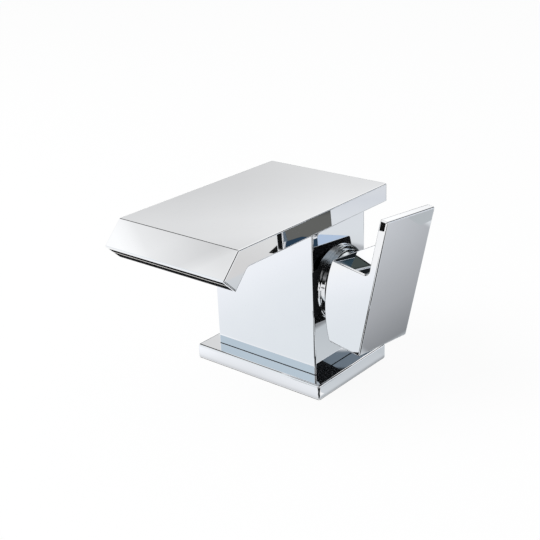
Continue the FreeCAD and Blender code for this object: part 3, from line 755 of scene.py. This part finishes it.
# %% [markdown]
# Polished chrome
#
# The outside is brass, polished and plated with nickel and chrome. Chrome is a neutral mirror that is a
# little cool, so the colour is near white, very slightly blue, and the roughness almost nothing. The
# shroud is a little softer than the rest, and softest at its crown. The column is plated outside only:
# its bores and its foot stay bare brass, and a fine line of painted shade runs round its lower edge, in
# the seam above the plate. Where shade falls, painted shade covers the chrome as a dull dark coat: on
# the column beside the shroud, on the back of the lever's block, under the lever, inside the spout and
# under its front.


# %% Base plate and shroud
chrome_clean = (0.885, 0.895, 0.91)
chrome_hazy = (0.876, 0.886, 0.902)
crown_start = 0.069
crown_full = 0.073
crown_colour = (0.80, 0.84, 0.87)
crown_roughness = 0.2


def chrome(name, smoothest=0.012, roughest=0.022):
    return finish(name, polish_haze, chrome_clean, chrome_hazy, smoothest, roughest)


dress(chrome("polished_chrome"), "base_plate")

shroud_chrome = chrome("softer_chrome", 0.07, 0.1)
tree = shroud_chrome.node_tree
crown = sharpen(tree, (coordinates(tree, "Object"), "Z"), crown_start, crown_full)
lay_over(shroud_chrome, crown, crown_colour, crown_roughness)
dress(shroud_chrome, "cartridge_shroud")

# %% Column: chrome outside, brass inside, with painted shade at its foot and by the shroud
brass_light = (0.78, 0.60, 0.30)
brass_dark = (0.58, 0.42, 0.19)
plating_depth = 0.0006
# painted shade in the seam where the column stands on the plate
seam_shade_height = 0.00035
seam_shade_colour = (0.06, 0.07, 0.08)
seam_shade_roughness = 0.4
# painted shade on the column's side round the front of the shroud's foot
painted_shade_patch_radius = 0.0268
painted_shade_patch_low = 0.0435
painted_shade_patch_high = 0.0705

column_chrome = chrome("column_chrome")
tree = column_chrome.node_tree
place = coordinates(tree, "Object")
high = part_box("body_column")[1]
plate_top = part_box("base_plate")[1][2]
inside = both(
    tree,
    under(tree, maths(tree, "ABSOLUTE", (place, "X")), high[0] - plating_depth),
    under(tree, maths(tree, "ABSOLUTE", (place, "Y")), high[1] - plating_depth),
)
bare = place_effect(tree, turning_marks, brass_light, brass_dark, 0.22, 0.4)
lay_over(column_chrome, inside, (bare, "Colour"), (bare, "Roughness"))
# A fine line of painted shade in the seam just above the plate, on the outside only.
seam_shade = both(
    tree,
    under(tree, (place, "Z"), plate_top + seam_shade_height),
    maths(tree, "SUBTRACT", 1.0, inside),
)
lay_over(column_chrome, seam_shade, seam_shade_colour, seam_shade_roughness)
# Painted shade, the dull dark coat, on the column's side round the front half of the shroud's foot.
painted_shade_patch = both(
    tree,
    under(tree, from_cartridge_axis(tree, place), painted_shade_patch_radius**2),
    over(tree, (place, "X"), high[0] - plating_depth),
    over(tree, (place, "Z"), painted_shade_patch_low),
    under(tree, (place, "Z"), painted_shade_patch_high),
    under(tree, (place, "Y"), 0.0),
)
lay_painted_shade(column_chrome, painted_shade_patch)
dress(column_chrome, "body_column")

# %% Lever: chrome, with painted shade behind its block and below
block_back = 0.0595
faces_back = -0.35
faces_down = -0.5

lever_chrome = chrome("lever_chrome")
tree = lever_chrome.node_tree
facing = coordinates(tree, "Normal")
place = coordinates(tree, "Object")
behind = both(tree, under(tree, (facing, "X"), faces_back), under(tree, (place, "X"), block_back))
below = under(tree, (facing, "Z"), faces_down)
# Painted shade, the dull dark coat, on the back of the block and on every face that looks down.
lay_painted_shade(lever_chrome, either(tree, behind, below))
dress(lever_chrome, "lever_handle")

# %% Spout cover: chrome with painted shade inside
room_margin = 0.0003
room_half_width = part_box("spout_floor")[1][0] + room_margin
lip_slope = -0.3
square_on = 0.9

cover_chrome = chrome("cover_chrome")
tree = cover_chrome.node_tree
facing = coordinates(tree, "Normal")
place = coordinates(tree, "Object")
roof = both(tree, under(tree, (facing, "Z"), faces_down), over(tree, (facing, "Y"), lip_slope))
cheeks = over(tree, maths(tree, "ABSOLUTE", (facing, "X")), square_on)
rear = both(tree, under(tree, (facing, "Y"), -square_on), over(tree, (place, "Y"), 0.0))
within = under(tree, maths(tree, "ABSOLUTE", (place, "X")), room_half_width)
# Painted shade, the dull dark coat, inside the spout: on its roof, its cheeks and its rear wall.
lay_painted_shade(cover_chrome, both(tree, either(tree, cheeks, rear, roof), within))
dress(cover_chrome, "spout_cover")

# %% Spout floor: painted shade above and at the front below
painted_shade_underside_back = -0.045
faces_up = 0.3
rim_slope = 0.4
flat_below = -0.95

floor_chrome = chrome("floor_chrome")
tree = floor_chrome.node_tree
facing = coordinates(tree, "Normal")
place = coordinates(tree, "Object")
upper = over(tree, (facing, "Z"), faces_up)
mouth_rim = over(tree, maths(tree, "MULTIPLY", (facing, "Y"), (facing, "Z")), rim_slope)
underside = both(
    tree,
    under(tree, (facing, "Z"), flat_below),
    under(tree, (place, "Y"), painted_shade_underside_back),
)
# Painted shade, the dull dark coat, on the floor's upper side, on the mouth's rim and under its front.
lay_painted_shade(floor_chrome, either(tree, upper, mouth_rim, underside))
dress(floor_chrome, "spout_floor")

# %% [markdown]
# The other metals
#
# The nut and the stem are turned brass, with rings from the lathe. The screws and the pin are stainless
# steel. The dividing blade and the baffle are cut from drawn steel sheet, with fine lines along it. The
# blade's flats get painted shade, a dull dark coat, so in the dark mouth its sloping edge shows as a
# soft warm line. The plug under the lever is plated plastic, which is never as flat as plated metal.

# %% Brass, steel and plated plastic
brass = finish("turned_brass", turning_marks, brass_light, brass_dark, 0.2, 0.36, bump=0.25)
dress(brass, "cartridge_nut", "lever_stem")
steel = finish("stainless_steel", polish_haze, (0.66, 0.65, 0.63), (0.55, 0.54, 0.52), 0.16, 0.3,
               bump=0.06, Scale=400.0)
dress(steel, "base_screws", "spout_screws", "grub_screw", "pivot_pin")
plated = finish("plated_plastic", polish_haze, (0.84, 0.85, 0.87), (0.78, 0.79, 0.81), 0.04, 0.09,
                bump=0.12, Scale=180.0)
dress(plated, "grub_plug")

# %% Baffle and blade
sheet_light = (0.72, 0.69, 0.64)
sheet_dark = (0.64, 0.61, 0.56)
front_edge_slope = 0.2

dress(finish("drawn_steel", drawn_lines, sheet_light, sheet_dark, 0.3, 0.4), "flow_baffle")

blade_steel = finish("blade_steel", drawn_lines, sheet_light, sheet_dark, 0.2, 0.3)
tree = blade_steel.node_tree
facing = coordinates(tree, "Normal")
flats = under(tree, maths(tree, "MULTIPLY", (facing, "Y"), (facing, "Z")), front_edge_slope)
# Painted shade, the dull dark coat, on the blade's flats inside the mouth.
lay_painted_shade(blade_steel, flats)
dress(blade_steel, "flow_blade")

# %% [markdown]
# Plastics, rubber and ceramic
#
# Inside the cartridge the housing and the disc carrier are white acetal, the turning cage is grey and
# the temperature stop is red, so that a fitter finds it. The two discs are lapped alumina, pale and
# smooth. Seals are black rubber with the matt grain of the mould.

# %% Cartridge and seals
acetals = [
    # name, colour, second colour, roughest, pieces
    ("white_acetal", (0.80, 0.79, 0.75), (0.74, 0.73, 0.69), 0.46,
     ("cartridge_base", "cartridge_housing", "disc_carrier")),
    ("grey_acetal", (0.30, 0.31, 0.33), (0.25, 0.26, 0.28), 0.48, ("stem_rotor",)),
    ("red_acetal", (0.55, 0.035, 0.03), (0.46, 0.028, 0.024), 0.48, ("temperature_stop",)),
]
for name, colour, second, roughest, pieces in acetals:
    dress(finish(name, moulded_grain, colour, second, 0.34, roughest, metallic=0.0, bump=0.12), *pieces)
alumina = finish("alumina", moulded_grain, (0.83, 0.80, 0.73), (0.79, 0.76, 0.69), 0.12, 0.22,
                 metallic=0.0, bump=0.03, Grain_per_Metre=5200.0)
dress(alumina, "fixed_disc", "moving_disc")
rubber = finish("black_rubber", moulded_grain, (0.018, 0.018, 0.019), (0.032, 0.032, 0.033), 0.5, 0.68,
                metallic=0.0, bump=0.2, Grain_per_Metre=2600.0)
dress(rubber, "base_gasket", "foot_seal", "spout_seal", "port_seals", "shroud_grip_ring")

# %% [markdown]
# Threads under the foot
#
# The two water inlets and the fixing stud screw into the foot from below. In the CAD model their holes
# are plain, at the size of the thread's core. A thread could be a spiral texture, but a real ridge
# catches the light and survives in the mesh. One small triangle is turned up a screw line inside each
# hole by the Screw modifier, and its two ends are closed.

# %% Thread maker
thread_start = 0.0014
thread_turns = 10
thread_steps = 36
ridge_share = 0.32
smooth_angle = math.radians(40.0)


def make_thread(name, place, bore, pitch):
    """A ridge inside a hole, closed at both ends."""
    bpy.ops.object.select_all(action="DESELECT")
    bpy.ops.mesh.primitive_circle_add(
        vertices=3, radius=ridge_share * pitch, location=(bore, 0.0, thread_start),
        rotation=(math.radians(90.0), math.radians(-90.0), 0.0))
    thread = bpy.context.object
    thread.name = name
    bpy.ops.object.transform_apply(location=True, rotation=True, scale=True)
    screw = thread.modifiers.new("turns", "SCREW")
    screw.axis = "Z"
    screw.screw_offset = pitch
    screw.iterations = thread_turns
    screw.steps = thread_steps
    screw.render_steps = thread_steps
    bpy.ops.object.modifier_apply(modifier=screw.name)
    bpy.ops.object.mode_set(mode="EDIT")
    bpy.ops.mesh.select_all(action="SELECT")
    bpy.ops.mesh.fill_holes(sides=3)
    bpy.ops.mesh.select_all(action="SELECT")
    bpy.ops.mesh.normals_make_consistent(inside=False)
    bpy.ops.object.mode_set(mode="OBJECT")
    thread.location = (*place, 0.0)
    bpy.ops.object.transform_apply(location=True, rotation=False, scale=False)
    bpy.ops.object.shade_smooth_by_angle(angle=smooth_angle)
    thread.data.materials.append(brass)
    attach(thread, "mixer_body")
    print(name, "with", len(thread.data.polygons), "faces")


print("thread maker ready, turns", thread_turns)

# %% Threads
inlet_bore = 0.0045
inlet_pitch = 0.001
stud_bore = 0.0034
stud_pitch = 0.00125

make_thread("cold_inlet_thread", (-0.00485, 0.008), inlet_bore, inlet_pitch)
make_thread("hot_inlet_thread", (-0.00485, -0.008), inlet_bore, inlet_pitch)
make_thread("stud_thread", (0.009, 0.0), stud_bore, stud_pitch)
